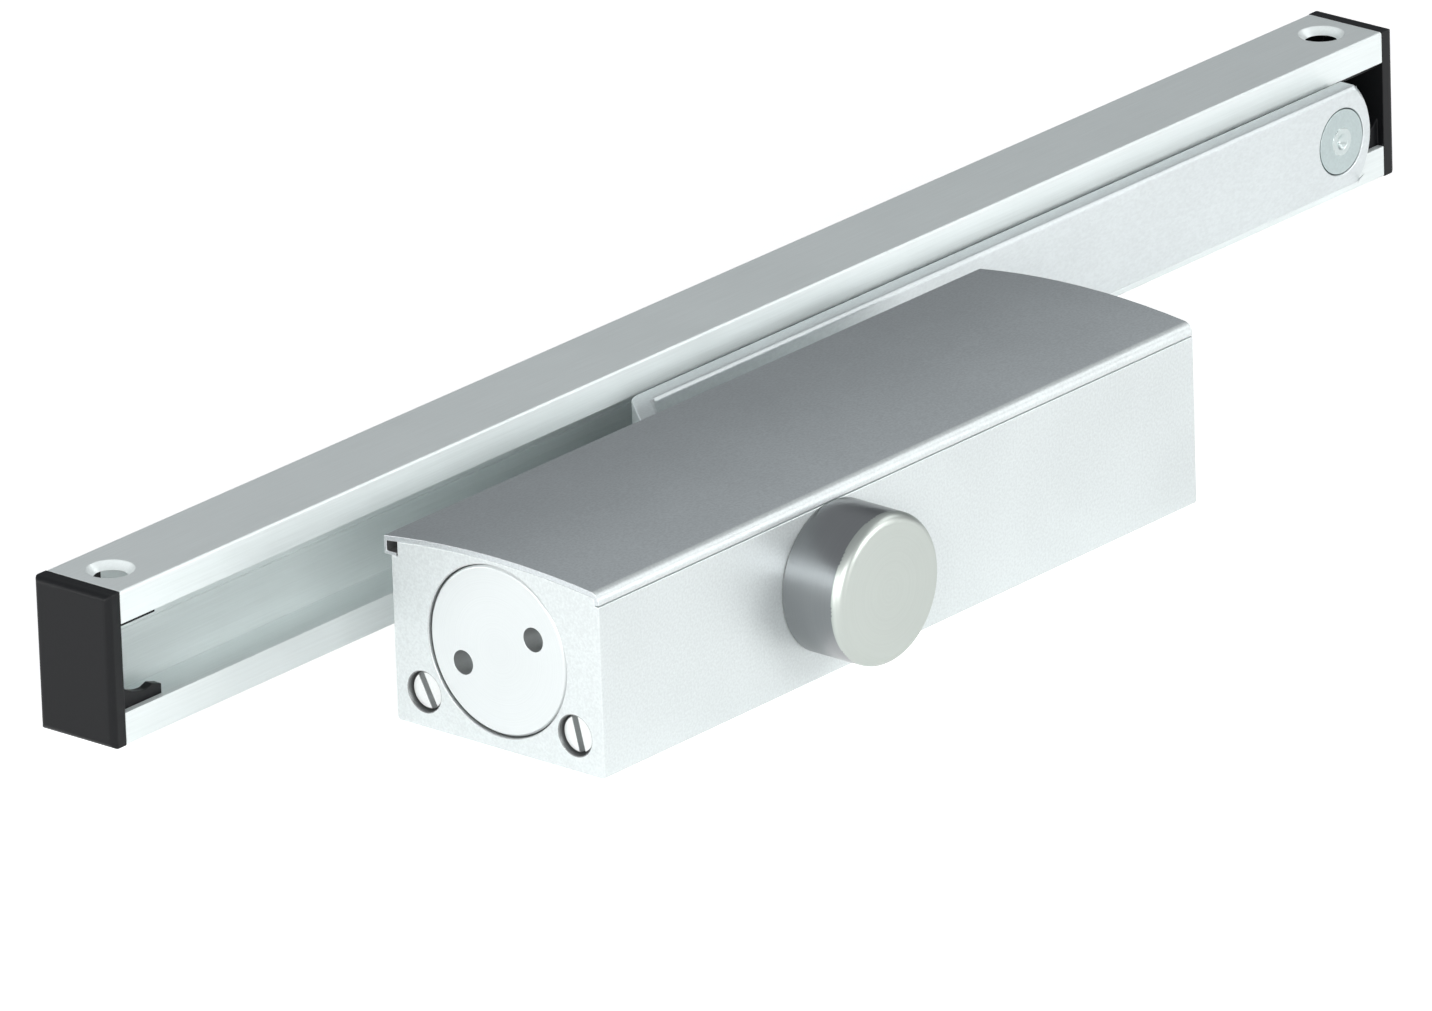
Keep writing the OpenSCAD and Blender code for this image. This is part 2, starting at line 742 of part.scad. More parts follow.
module relief_valve_screw() {
  x0 = piston_left + relief_screw_inset;
  x1 = piston_left + check_bore_depth - relief_ball_d - 4 * ball_gap;
  color("silver") difference() {
    rod_x(x0, x1, relief_bore_d / 2 - seated, relief_offset, axis_height);
    translate([x0 - cut, relief_offset - relief_bore_d, axis_height - relief_slot_w / 2])
      cube([relief_slot_depth + cut, 2 * relief_bore_d, relief_slot_w]);
  }
}

// Pinion: twelve involute teeth, each space meeting a rack tooth at rest
base_r = pitch_r * cos(pressure_angle);
root_r = pitch_r - dedendum;
function involute_turn(r) = let (a = acos(min(1, base_r / r))) tan(a) * 180 / PI - a;
flank_steps = 6;
flank_radii = [for (i = [0 : flank_steps]) base_r + (pinion_tip_r - base_r) * i / flank_steps];
tooth_half_turn = 90 / pinion_teeth - backlash / 2 / pitch_r * 180 / PI;
function flank_turn(r) = tooth_half_turn + involute_turn(pitch_r) - involute_turn(r);

module pinion_outline() {
  polygon([
    for (k = [0 : pinion_teeth - 1])
      let (middle = -90 + 360 * k / pinion_teeth)
      each concat(
        [root_r * [cos(middle - flank_turn(base_r)), sin(middle - flank_turn(base_r))]],
        [for (r = flank_radii) r * [cos(middle - flank_turn(r)), sin(middle - flank_turn(r))]],
        [for (i = [flank_steps : -1 : 0]) let (r = flank_radii[i])
          r * [cos(middle + flank_turn(r)), sin(middle + flank_turn(r))]],
        [root_r * [cos(middle + flank_turn(base_r)), sin(middle + flank_turn(base_r))]]
      )
  ]);
}

square_setback = 0.4;
square_end = hub_front + arm_t - square_setback;
thread_depth = 18;
thread_end_gap = 2;

module pinion_spindle() {
  square_corner_r = square_w * 0.66;
  color("slategray") difference() {
    union() {
      translate([spindle_x, 0, axis_height]) along_y(-pinion_length / 2, pinion_length) pinion_outline();
      rod_y(pinion_length / 2 - joined, journal_end, journal_r, spindle_x, axis_height);
      rod_y(-journal_end, -pinion_length / 2 + joined, journal_r, spindle_x, axis_height);
      intersection() {
        translate([spindle_x - square_w / 2, -square_end, axis_height - square_w / 2])
          cube([square_w, 2 * square_end, square_w]);
        rod_y(-square_end, square_end, square_corner_r, spindle_x, axis_height);
      }
    }
    rod_y(square_end - thread_depth, square_end + cut, arm_screw_d / 2 + running, spindle_x, axis_height);
    rod_y(-square_end - cut, thread_depth - square_end, arm_screw_d / 2 + running, spindle_x, axis_height);
  }
}

// Top view of the cranked bar: main length, bend, slope, bend, hub
function arc(cx, cy, r, a0, a1) =
  [for (i = [0 : 8]) let (a = a0 + (a1 - a0) * i / 8) [cx + r * cos(a), cy + r * sin(a)]];
outer_cx = outer_bend_x + bend_tangent;
outer_cy = arm_mid - crank_bend_r;
inner_cx = inner_bend_x - bend_tangent;
inner_cy = hub_mid + crank_bend_r;
bend_out = crank_bend_r + arm_t / 2;
bend_in = crank_bend_r - arm_t / 2;
hub_left = spindle_x - arm_w / 2;

module crank_outline() {
  polygon(concat(
    [[arm_end_x, arm_back]],
    arc(outer_cx, outer_cy, bend_out, 90, 90 + crank_angle),
    arc(inner_cx, inner_cy, bend_in, crank_angle - 90, -90),
    [[hub_left, hub_front + arm_t], [hub_left, hub_front]],
    arc(inner_cx, inner_cy, bend_out, -90, crank_angle - 90),
    arc(outer_cx, outer_cy, bend_in, 90 + crank_angle, 90),
    [[arm_end_x, arm_front]]
  ));
}

// Front view of the bar: round hub, parallel sides
module bar_outline() {
  bar_end = arm_end_x - arm_end_r + arm_end_chord;
  translate([spindle_x, arm_z]) circle(r = arm_w / 2);
  translate([spindle_x, arm_z - arm_w / 2]) square([bar_end - spindle_x, arm_w]);
}

// A chamfer along a front edge, from one point of the top view to another
module edge_cut(from, to, z) {
  side = arm_chamfer * sqrt(2);
  run = to - from;
  translate([from[0], from[1], z]) rotate([0, 0, atan2(run[1], run[0])]) rotate([45, 0, 0])
    translate([0, -side / 2, -side / 2]) cube([norm(run), side, side]);
}

module arm() {
  slope_start = [inner_cx + bend_out * cos(crank_angle - 90), inner_cy + bend_out * sin(crank_angle - 90)];
  slope_end = [outer_cx + bend_in * cos(90 + crank_angle), outer_cy + bend_in * sin(90 + crank_angle)];
  color("silver") difference() {
    union() {
      intersection() {
        translate([0, 0, arm_z - arm_w / 2]) linear_extrude(arm_w) crank_outline();
        along_y(hub_front - cut, arm_back - hub_front + 2 * cut) bar_outline();
      }
      // Rounded end with its chamfer
      intersection() {
        translate([arm_end_x - arm_end_r, arm_front, arm_z]) rotate([-90, 0, 0]) rotate_extrude($fn = 180)
          polygon([
            [0, 0], [arm_end_r - arm_chamfer, 0], [arm_end_r, arm_chamfer], [arm_end_r, arm_t], [0, arm_t]
          ]);
        translate([arm_end_x - arm_end_r, arm_front - cut, arm_z - arm_w / 2])
          cube([arm_end_r + cut, arm_t + 2 * cut, arm_w]);
      }
    }
    for (z = [arm_z - arm_w / 2, arm_z + arm_w / 2]) {
      edge_cut(slope_start, slope_end, z);
      edge_cut([outer_cx, arm_front], [arm_end_x, arm_front], z);
    }
    // Square socket on the spindle, hole and recess for the slide pin
    translate([spindle_x - square_w / 2 - running, hub_front - cut, axis_height - square_w / 2 - running])
      cube([square_w + 2 * running, arm_t + 2 * cut, square_w + 2 * running]);
    rod_y(arm_front - cut, arm_back + cut, bush_r + seated, pin_x, arm_z);
    rod_y(arm_front - cut, arm_front + pin_head_t + face_gap, pin_head_d / 2 + pin_head_gap, pin_x, arm_z);
  }
}

washer_y = hub_front + arm_t + seated;
washer_bore_gap = 0.2;

module arm_washer() {
  color("silver")
    tube_y(washer_y, washer_y + arm_washer_t, arm_washer_d / 2, arm_screw_d / 2 + washer_bore_gap,
      spindle_x, axis_height);
}

module arm_screw() {
  thread_y = square_end - thread_depth + thread_end_gap;
  head_y = washer_y + arm_washer_t + seated;
  head_t = arm_screw_d * 0.7;
  color("slategray") difference() {
    union() {
      rod_y(thread_y, head_y + joined, arm_screw_d / 2, spindle_x, axis_height);
      rod_y(head_y, head_y + head_t, arm_screw_head_d / 2, spindle_x, axis_height);
    }
    rod_y(head_y + head_t / 3, head_y + head_t + cut, arm_screw_d * 0.45, spindle_x, axis_height, $fn = 6);
  }
}

module pin_bush() {
  bush_front = arm_front + pin_head_t + face_gap;
  color("goldenrod") tube_y(bush_front, arm_back, bush_r, pin_r + running, pin_x, arm_z);
}

// Slide pin: flat head with a raised ring and a dimple, shank through arm and block, circlip groove
pin_head_sink = 0.1;
pin_ring_h = 0.25;
pin_dimple_depth = 1.2;
pin_dimple_end_r = 0.4;
pin_end_reach = 1.2;
groove_y = slider_back + overlap;

module slide_pin() {
  head_y = arm_front + pin_head_sink;
  head_back = arm_front + pin_head_t;
  color("lightsteelblue") difference() {
    union() {
      rod_y(head_y, head_back, pin_head_d / 2, pin_x, arm_z);
      rod_y(head_y - pin_ring_h, head_back, pin_ring_d / 2, pin_x, arm_z);
      rod_y(head_back - cut, slider_back + circlip_t + pin_end_reach, pin_r, pin_x, arm_z);
    }
    translate([pin_x, head_y - pin_ring_h - cut / 2, arm_z]) rotate([-90, 0, 0])
      cylinder(h = cut / 2 + pin_dimple_depth, r1 = pin_ring_d * 0.4, r2 = pin_dimple_end_r);
    tube_y(groove_y, groove_y + circlip_t, pin_r + cut, pin_r - circlip_groove, pin_x, arm_z);
  }
}

module pin_washer() {
  washer_r = pin_head_d / 2;
  color("whitesmoke")
    tube_y(arm_back + face_gap, neck_front - seated, washer_r, pin_r + running, pin_x, arm_z);
}

module slider_block() {
  half = slider_length / 2;
  inner_half = (inner_top - inner_bottom) / 2 - slider_gap;
  neck_half = slot_w / 2 - slider_gap;
  corner = 1.5;
  color("whitesmoke") difference() {
    union() {
      along_y(slider_front, slider_depth) translate([pin_x, arm_z]) polygon([
        [-half + corner, -inner_half], [half - corner, -inner_half], [half, -inner_half + corner],
        [half, inner_half - corner], [half - corner, inner_half], [-half + corner, inner_half],
        [-half, inner_half - corner], [-half, -inner_half + corner]
      ]);
      translate([pin_x - half + corner, neck_front, arm_z - neck_half])
        cube([slider_length - 2 * corner, slider_front - neck_front + cut, 2 * neck_half]);
    }
    rod_y(neck_front - cut, slider_back + cut, pin_r + seated, pin_x, arm_z);
  }
}

circlip_wall = 2.6;

module pin_circlip() {
  inner = pin_r - circlip_groove + seated;
  outer = inner + circlip_wall;
  mouth = inner * 1.4;
  color("slategray") difference() {
    tube_y(groove_y + seated, groove_y + circlip_t - seated, outer, inner, pin_x, arm_z);
    translate([pin_x, groove_y - cut, arm_z - mouth / 2]) cube([outer + cut, circlip_t + 2 * cut, mouth]);
  }
}

// Track: open extruded channel, its slot towards the arm
module track_outline() {
  c = track_chamfer;
  y0 = track_front;
  y1 = track_front + track_d;
  z0 = track_bottom;
  z1 = track_bottom + track_h;
  difference() {
    polygon([
      [y0 + c, z0], [y1 - c, z0], [y1, z0 + c], [y1, z1 - c],
      [y1 - c, z1], [y0 + c, z1], [y0, z1 - c], [y0, z0 + c]
    ]);
    translate([track_inner_front, inner_bottom])
      square([track_inner_back - track_inner_front, inner_top - inner_bottom]);
    translate([y0 - cut, slot_bottom]) square([track_wall + 2 * cut, slot_w]);
  }
  translate([track_inner_back - ledge_t, ledge_z]) square([ledge_t + overlap, ledge_h]);
}

module track() {
  top = track_bottom + track_h;
  hole_r = track_hole_d / 2;
  sink_r = track_sink_d / 2;
  sink_depth = sink_r - hole_r;
  color("lightgray") difference() {
    along_x(track_left, track_length) track_outline();
    for (x = [track_left + track_hole_inset, track_right - track_hole_inset]) {
      translate([x, track_mid, track_bottom - cut]) cylinder(h = track_h + 2 * cut, r = hole_r);
      translate([x, track_mid, top - sink_depth]) cylinder(h = sink_depth + joined, r1 = hole_r, r2 = sink_r);
    }
  }
}

// Side view of the lower tongue: an arc down to a waist, a rise to the catch and a fall to the tip
waist_drop = tongue_root_rise - tongue_waist_rise;
waist_r = (tongue_waist_x * tongue_waist_x + waist_drop * waist_drop) / (2 * waist_drop);
function tongue_top(x) =
  slot_bottom + tongue_waist_rise + waist_r - sqrt(waist_r * waist_r - pow(x - tongue_waist_x, 2));

module lower_tongue_outline() {
  steps = 10;
  polygon([
    [-overlap, inner_bottom + tongue_gap], [lower_tongue_length, inner_bottom + tongue_gap],
    [lower_tongue_length, slot_bottom + tongue_tip_rise],
    [tongue_catch_x, slot_bottom + tongue_catch_rise],
    for (i = [steps : -1 : 0]) let (x = tongue_waist_x * i / steps) [x, tongue_top(x)],
    [-overlap, slot_bottom + tongue_root_rise]
  ]);
}

// End cap, its flange's inner face at x = 0 and its tongues running towards +X
module end_cap() {
  y0 = track_inner_front + tongue_gap;
  y1 = track_inner_back - ledge_t - tongue_gap;
  r = cap_flange_r;
  t = cap_flange_t;
  // Flange with rounded outer edges
  intersection() {
    translate([-t, track_front, track_bottom]) cube([t, track_d, track_h]);
    along_y(track_front, track_d) {
      translate([-t + r, track_bottom]) square([t - r, track_h]);
      translate([-t, track_bottom + r]) square([t, track_h - 2 * r]);
      translate([-t + r, track_bottom + r]) circle(r = r, $fn = 48);
      translate([-t + r, track_bottom + track_h - r]) circle(r = r, $fn = 48);
    }
    translate([0, 0, track_bottom]) linear_extrude(track_h) {
      translate([-t + r, track_front]) square([t - r, track_d]);
      translate([-t, track_front + r]) square([t, track_d - 2 * r]);
      translate([-t + r, track_front + r]) circle(r = r, $fn = 48);
      translate([-t + r, track_front + track_d - r]) circle(r = r, $fn = 48);
    }
  }
  // Two tongues behind the lips, and a web along the channel's back wall
  along_y(y0, tongue_t) {
    lower_tongue_outline();
    translate([-overlap, slot_top - upper_tongue_drop])
      square([upper_tongue_length + overlap, inner_top - tongue_gap - slot_top + upper_tongue_drop]);
  }
  translate([-overlap, y1 - cap_web, inner_bottom + tongue_gap])
    cube([upper_tongue_length + overlap, cap_web, inner_top - inner_bottom - 2 * tongue_gap]);
}

module left_end_cap() {
  color([0.16, 0.17, 0.18]) translate([track_left - seated, 0, 0]) end_cap();
}

module right_end_cap() {
  color([0.16, 0.17, 0.18]) translate([track_right + seated, 0, 0]) mirror([1, 0, 0]) end_cap();
}

housing();
cover();
valve_end_plug();
spring_end_plug();
plug_seals();
spring_seat();
main_spring();
bearing_cups();
bearing_needles();
shaft_seals();
bearing_collars();
spindle_cap();
closing_speed_valve();
closing_valve_seal();
latching_speed_valve();
latching_valve_seal();
piston();
check_valve_ball();
check_valve_retainer();
relief_valve_ball();
relief_valve_screw();
pinion_spindle();
arm();
arm_washer();
arm_screw();
pin_bush();
slide_pin();
pin_washer();
slider_block();
pin_circlip();
track();
left_end_cap();
right_end_cap();
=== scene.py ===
import json
import math

import bmesh
import bpy
from mathutils import Matrix, Vector


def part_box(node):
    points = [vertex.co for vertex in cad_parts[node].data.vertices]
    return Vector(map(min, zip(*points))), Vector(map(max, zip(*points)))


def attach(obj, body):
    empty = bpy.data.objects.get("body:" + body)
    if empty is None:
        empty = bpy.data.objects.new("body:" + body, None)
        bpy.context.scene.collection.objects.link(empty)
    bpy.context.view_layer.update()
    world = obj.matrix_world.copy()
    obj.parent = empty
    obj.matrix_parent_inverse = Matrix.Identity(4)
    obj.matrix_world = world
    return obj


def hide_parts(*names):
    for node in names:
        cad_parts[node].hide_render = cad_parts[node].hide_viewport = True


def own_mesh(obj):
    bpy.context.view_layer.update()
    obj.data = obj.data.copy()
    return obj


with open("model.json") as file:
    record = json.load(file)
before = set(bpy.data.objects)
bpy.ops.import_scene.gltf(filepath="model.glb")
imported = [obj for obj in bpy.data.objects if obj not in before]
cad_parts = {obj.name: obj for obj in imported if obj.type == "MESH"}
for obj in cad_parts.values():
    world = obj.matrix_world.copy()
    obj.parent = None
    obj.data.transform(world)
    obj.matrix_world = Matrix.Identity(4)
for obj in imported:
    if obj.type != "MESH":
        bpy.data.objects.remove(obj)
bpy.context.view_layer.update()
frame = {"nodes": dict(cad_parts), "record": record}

# Camera: a long lens that looks down on the valve end from the side of the spindle cap. It shows the
# body's end, its near side and its top, with the arm and the track running away to the right.
camera_place = Vector((-2.8110, -2.4345, 1.4688))
camera_right = Vector((0.6487341, -0.7603497, -0.0318173))
camera_up = Vector((0.294637, 0.212398, 0.931706))
camera_back = Vector((-0.7016645, -0.6138041, 0.3618170))
focal_pixels = 18000
picture_width = 1432
camera_data = bpy.data.cameras.new("camera")
camera_data.sensor_fit = "HORIZONTAL"
camera_data.sensor_width = 36  # millimetres, as the lens
camera_data.lens = camera_data.sensor_width * focal_pixels / picture_width
camera_data.clip_end = 60  # past the far edge of the floor
camera = bpy.data.objects.new("camera", camera_data)
bpy.context.collection.objects.link(camera)
camera.matrix_world = Matrix.Translation(camera_place) @ Matrix(
    (camera_right, camera_up, camera_back)
).transposed().to_4x4()
bpy.context.scene.camera = camera

# Floor: a wide pale table just under the closer's mounting face. It glows a little where the camera
# or a mirroring face sees it, so it shows white and still keeps the closer's soft shadow.
floor_half = 6.0
floor_drop = 0.0002
floor_tone = (0.8, 0.8, 0.8, 1)
floor_glow_strength = 0.7
floor_mesh = bpy.data.meshes.new("floor")
floor_corners = ((-1, -1), (1, -1), (1, 1), (-1, 1))
floor_mesh.from_pydata(
    [(x * floor_half, y * floor_half, -floor_drop) for x, y in floor_corners], [], [(0, 1, 2, 3)]
)
floor = bpy.data.objects.new("floor", floor_mesh)
bpy.context.collection.objects.link(floor)
floor_material = bpy.data.materials.new("pale_table")
floor_material.use_nodes = True
floor_nodes, floor_links = floor_material.node_tree.nodes, floor_material.node_tree.links
floor_nodes.clear()
floor_out = floor_nodes.new("ShaderNodeOutputMaterial")
floor_diffuse = floor_nodes.new("ShaderNodeBsdfDiffuse")
floor_diffuse.inputs["Color"].default_value = floor_tone
floor_glow = floor_nodes.new("ShaderNodeEmission")
floor_sum = floor_nodes.new("ShaderNodeAddShader")
floor_path = floor_nodes.new("ShaderNodeLightPath")
floor_seen = floor_nodes.new("ShaderNodeMath")
floor_seen.operation = "ADD"
floor_seen_all = floor_nodes.new("ShaderNodeMath")
floor_seen_all.operation = "ADD"
floor_strength = floor_nodes.new("ShaderNodeMath")
floor_strength.operation = "MULTIPLY"
floor_strength.inputs[1].default_value = floor_glow_strength
floor_links.new(floor_path.outputs["Is Camera Ray"], floor_seen.inputs[0])
floor_links.new(floor_path.outputs["Is Glossy Ray"], floor_seen.inputs[1])
floor_links.new(floor_seen.outputs[0], floor_seen_all.inputs[0])
floor_links.new(floor_path.outputs["Is Transmission Ray"], floor_seen_all.inputs[1])
floor_links.new(floor_seen_all.outputs[0], floor_strength.inputs[0])
floor_links.new(floor_strength.outputs[0], floor_glow.inputs["Strength"])
floor_links.new(floor_diffuse.outputs[0], floor_sum.inputs[0])
floor_links.new(floor_glow.outputs[0], floor_sum.inputs[1])
floor_links.new(floor_sum.outputs[0], floor_out.inputs["Surface"])
floor_mesh.materials.append(floor_material)

# Surroundings: a studio with a white backdrop and a faint even fill. Metal mirrors it as white below
# the horizon, and above it as a dark grey wall that rises to a lighter grey overhead.
studio_fill = (0.115, 0.124, 0.132, 1)
studio_white = (1, 1, 1, 1)
studio_wall = (0.085, 0.092, 0.1, 1)
studio_overhead = (0.43, 0.446, 0.46, 1)
horizon_from, horizon_to = -0.25, 0.12
overhead_from, overhead_to = 0.2, 0.62
world = bpy.data.worlds.new("studio")
bpy.context.scene.world = world
world.use_nodes = True
world_nodes, world_links = world.node_tree.nodes, world.node_tree.links
world_nodes.clear()
world_out = world_nodes.new("ShaderNodeOutputWorld")
world_place = world_nodes.new("ShaderNodeTexCoord")
world_split = world_nodes.new("ShaderNodeSeparateXYZ")
world_height = world_nodes.new("ShaderNodeMapRange")
world_height.interpolation_type = "SMOOTHSTEP"
world_height.inputs["From Min"].default_value = horizon_from
world_height.inputs["From Max"].default_value = horizon_to
world_rise = world_nodes.new("ShaderNodeMapRange")
world_rise.interpolation_type = "SMOOTHSTEP"
world_rise.inputs["From Min"].default_value = overhead_from
world_rise.inputs["From Max"].default_value = overhead_to
world_upper = world_nodes.new("ShaderNodeMix")
world_upper.data_type = "RGBA"
world_upper.inputs["A"].default_value = studio_wall
world_upper.inputs["B"].default_value = studio_overhead
world_shown = world_nodes.new("ShaderNodeMix")
world_shown.data_type = "RGBA"
world_shown.inputs["A"].default_value = studio_white
world_path = world_nodes.new("ShaderNodeLightPath")
world_mirrored = world_nodes.new("ShaderNodeMath")
world_mirrored.operation = "ADD"
world_colour = world_nodes.new("ShaderNodeMix")
world_colour.data_type = "RGBA"
world_colour.inputs["A"].default_value = studio_fill
world_backdrop = world_nodes.new("ShaderNodeMix")
world_backdrop.data_type = "RGBA"
world_backdrop.inputs["B"].default_value = studio_white
world_background = world_nodes.new("ShaderNodeBackground")
world_links.new(world_place.outputs["Generated"], world_split.inputs[0])
world_links.new(world_split.outputs["Z"], world_height.inputs["Value"])
world_links.new(world_height.outputs["Result"], world_shown.inputs["Factor"])
world_links.new(world_split.outputs["Z"], world_rise.inputs["Value"])
world_links.new(world_rise.outputs["Result"], world_upper.inputs["Factor"])
world_links.new(world_upper.outputs["Result"], world_shown.inputs["B"])
world_links.new(world_path.outputs["Is Glossy Ray"], world_mirrored.inputs[0])
world_links.new(world_path.outputs["Is Transmission Ray"], world_mirrored.inputs[1])
world_links.new(world_mirrored.outputs[0], world_colour.inputs["Factor"])
world_links.new(world_shown.outputs["Result"], world_colour.inputs["B"])
world_links.new(world_colour.outputs["Result"], world_backdrop.inputs["A"])
world_links.new(world_path.outputs["Is Camera Ray"], world_backdrop.inputs["Factor"])
world_links.new(world_backdrop.outputs["Result"], world_background.inputs["Color"])
world_links.new(world_background.outputs[0], world_out.inputs["Surface"])
bpy.context.scene.view_settings.view_transform = "Standard"


# Studio lamps: low soft lamps at the right front and the left front, one facing the closer's valve
# end, a small one that runs along the rounded edges, and a weak one behind.
def soft_lamp(name, place, aim, size, lit):
    """Adds a rectangular lamp; lit is what it adds to a white surface that faces it at the closer."""
    data = bpy.data.lights.new(name, "AREA")
    data.shape = "RECTANGLE"
    data.size, data.size_y = size
    away = Vector(place) - Vector(aim)
    data.energy = lit * math.pi**2 * away.length_squared
    lamp = bpy.data.objects.new(name, data)
    bpy.context.collection.objects.link(lamp)
    lamp.location = place
    lamp.rotation_euler = away.to_track_quat("Z", "Y").to_euler()


lamp_aim = (0.05, 0.02, 0.03)
soft_lamp("right_lamp", (1.15, -2.45, 0.7), lamp_aim, (1.6, 0.8), 0.38)
soft_lamp("left_lamp", (-1.85, -1.8, 0.74), lamp_aim, (1.9, 0.6), 0.54)
soft_lamp("end_lamp", (-2.5, 0.35, 0.6), lamp_aim, (1.2, 0.8), 0.45)
soft_lamp("edge_lamp", (1.55, -0.95, 1.35), lamp_aim, (1.1, 0.7), 0.14)
soft_lamp("back_lamp", (-1.5, 2.5, 0.62), lamp_aim, (1.6, 0.8), 0.28)


# Housing: die-cast aluminium body with the piston bore, the cross bore for the spindle, two valve
# bores and four fixing holes. It is finished in a fine silver coating that is thin on its edges.
def linear(red, green, blue):
    """A colour as seen on a screen, from 0 to 255, as the shader's own numbers."""
    seen = (red / 255, green / 255, blue / 255)
    return tuple(c / 12.92 if c <= 0.04045 else ((c + 0.055) / 1.055) ** 2.4 for c in seen) + (1,)


def surface_finish(
    name, tone, metallic, roughness, grain, depth,
    drift=0.05, rubbed=0.3, specular=0.5, turned=None, speckled=0.6,
):
    """A material with slow drift of tone, fine speckle in tone, roughness and bump, and rubbed edges.

    grain is the count of marks per metre along X, Y and Z, depth the bump's strength and speckled the
    share of the drift that the marks carry. rubbed is how far the finish is worn pale on an edge.
    turned gives the centre and the axis of a turned face, whose marks run round that axis.
    """
    patches_per_metre = 38
    marks_low, marks_high = 0.3, 0.7
    edge_band = 0.0005
    edge_starts, edge_full = 0.995, 0.9
    rubbed_gain, rubbed_lift = 1.5, 0.06
    roughness_swing, least_roughness = 0.06, 0.02
    mark_height = 0.00005
    material = bpy.data.materials.new(name)
    material.use_nodes = True
    nodes, links = material.node_tree.nodes, material.node_tree.links
    shader = nodes["Principled BSDF"]
    shader.inputs["Metallic"].default_value = metallic
    shader.inputs["Specular IOR Level"].default_value = specular
    place = nodes.new("ShaderNodeTexCoord")
    marks = nodes.new("ShaderNodeTexNoise")
    marks.inputs["Scale"].default_value = 1
    marks.inputs["Detail"].default_value = 3
    stretch = nodes.new("ShaderNodeMapping")
    stretch.inputs["Scale"].default_value = grain
    if turned:
        centre, axis = turned
        shift = nodes.new("ShaderNodeMapping")
        shift.inputs["Location"].default_value = [-c for c in centre]
        spread = nodes.new("ShaderNodeVectorMath")
        spread.operation = "MULTIPLY"
        spread.inputs[1].default_value = [0 if a == axis else 1 for a in range(3)]
        radius = nodes.new("ShaderNodeVectorMath")
        radius.operation = "LENGTH"
        along = nodes.new("ShaderNodeSeparateXYZ")
        rings = nodes.new("ShaderNodeCombineXYZ")
        links.new(place.outputs["Object"], shift.inputs["Vector"])
        links.new(shift.outputs["Vector"], spread.inputs[0])
        links.new(spread.outputs["Vector"], radius.inputs[0])
        links.new(shift.outputs["Vector"], along.inputs["Vector"])
        links.new(radius.outputs["Value"], rings.inputs["X"])
        links.new(along.outputs[axis], rings.inputs["Y"])
        links.new(rings.outputs["Vector"], stretch.inputs["Vector"])
    else:
        links.new(place.outputs["Object"], stretch.inputs["Vector"])
    links.new(stretch.outputs["Vector"], marks.inputs["Vector"])

    patches = nodes.new("ShaderNodeTexNoise")
    patches.inputs["Scale"].default_value = patches_per_metre
    patches.inputs["Detail"].default_value = 2
    links.new(place.outputs["Object"], patches.inputs["Vector"])
    speckle = nodes.new("ShaderNodeMapRange")
    speckle.inputs["From Min"].default_value = marks_low
    speckle.inputs["From Max"].default_value = marks_high
    links.new(marks.outputs["Fac"], speckle.inputs["Value"])
    mottle = nodes.new("ShaderNodeMath")
    mottle.operation = "MULTIPLY_ADD"
    mottle.inputs[1].default_value = speckled
    links.new(speckle.outputs["Result"], mottle.inputs[0])
    links.new(patches.outputs["Fac"], mottle.inputs[2])
    level = nodes.new("ShaderNodeMath")
    level.operation = "SUBTRACT"
    level.inputs[1].default_value = speckled / 2
    level.use_clamp = True
    links.new(mottle.outputs["Value"], level.inputs[0])
    blend = nodes.new("ShaderNodeMix")
    blend.data_type = "RGBA"
    blend.inputs["A"].default_value = [c * (1 - drift) for c in tone[:3]] + [1]
    blend.inputs["B"].default_value = [min(1, c * (1 + drift)) for c in tone[:3]] + [1]
    links.new(level.outputs["Value"], blend.inputs["Factor"])

    worn = nodes.new("ShaderNodeBevel")
    worn.samples = 4
    worn.inputs["Radius"].default_value = edge_band
    flat = nodes.new("ShaderNodeNewGeometry")
    facing = nodes.new("ShaderNodeVectorMath")
    facing.operation = "DOT_PRODUCT"
    links.new(worn.outputs["Normal"], facing.inputs[0])
    links.new(flat.outputs["Normal"], facing.inputs[1])
    turn = nodes.new("ShaderNodeMapRange")
    turn.inputs["From Min"].default_value = edge_starts
    turn.inputs["From Max"].default_value = edge_full
    turn.inputs["To Max"].default_value = rubbed
    links.new(facing.outputs["Value"], turn.inputs["Value"])
    broken = nodes.new("ShaderNodeMath")
    broken.operation = "MULTIPLY"
    links.new(turn.outputs["Result"], broken.inputs[0])
    links.new(marks.outputs["Fac"], broken.inputs[1])
    paler = nodes.new("ShaderNodeMix")
    paler.data_type = "RGBA"
    pale_tone = [min(1, c * rubbed_gain + rubbed_lift) for c in tone[:3]]
    paler.inputs["B"].default_value = pale_tone + [1]
    links.new(blend.outputs["Result"], paler.inputs["A"])
    links.new(broken.outputs["Value"], paler.inputs["Factor"])
    links.new(paler.outputs["Result"], shader.inputs["Base Color"])

    rough = nodes.new("ShaderNodeMapRange")
    rough.inputs["To Min"].default_value = max(least_roughness, roughness - roughness_swing)
    rough.inputs["To Max"].default_value = roughness + roughness_swing
    links.new(marks.outputs["Fac"], rough.inputs["Value"])
    links.new(rough.outputs["Result"], shader.inputs["Roughness"])
    bump = nodes.new("ShaderNodeBump")
    bump.inputs["Strength"].default_value = depth
    bump.inputs["Distance"].default_value = mark_height
    links.new(marks.outputs["Fac"], bump.inputs["Height"])
    links.new(bump.outputs["Normal"], shader.inputs["Normal"])
    return material


node_body = {}
for body, body_nodes in frame["record"]["behaviour"]["bodies"].items():
    node_body.update({node: body for node in body_nodes})


def settle(piece, node, materials):
    """Gives a finished piece its materials and makes it stand for a CAD node on that node's body."""
    piece.data.materials.clear()
    for material in materials:
        piece.data.materials.append(material)
    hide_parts(node)
    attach(piece, node_body[node])
    return piece


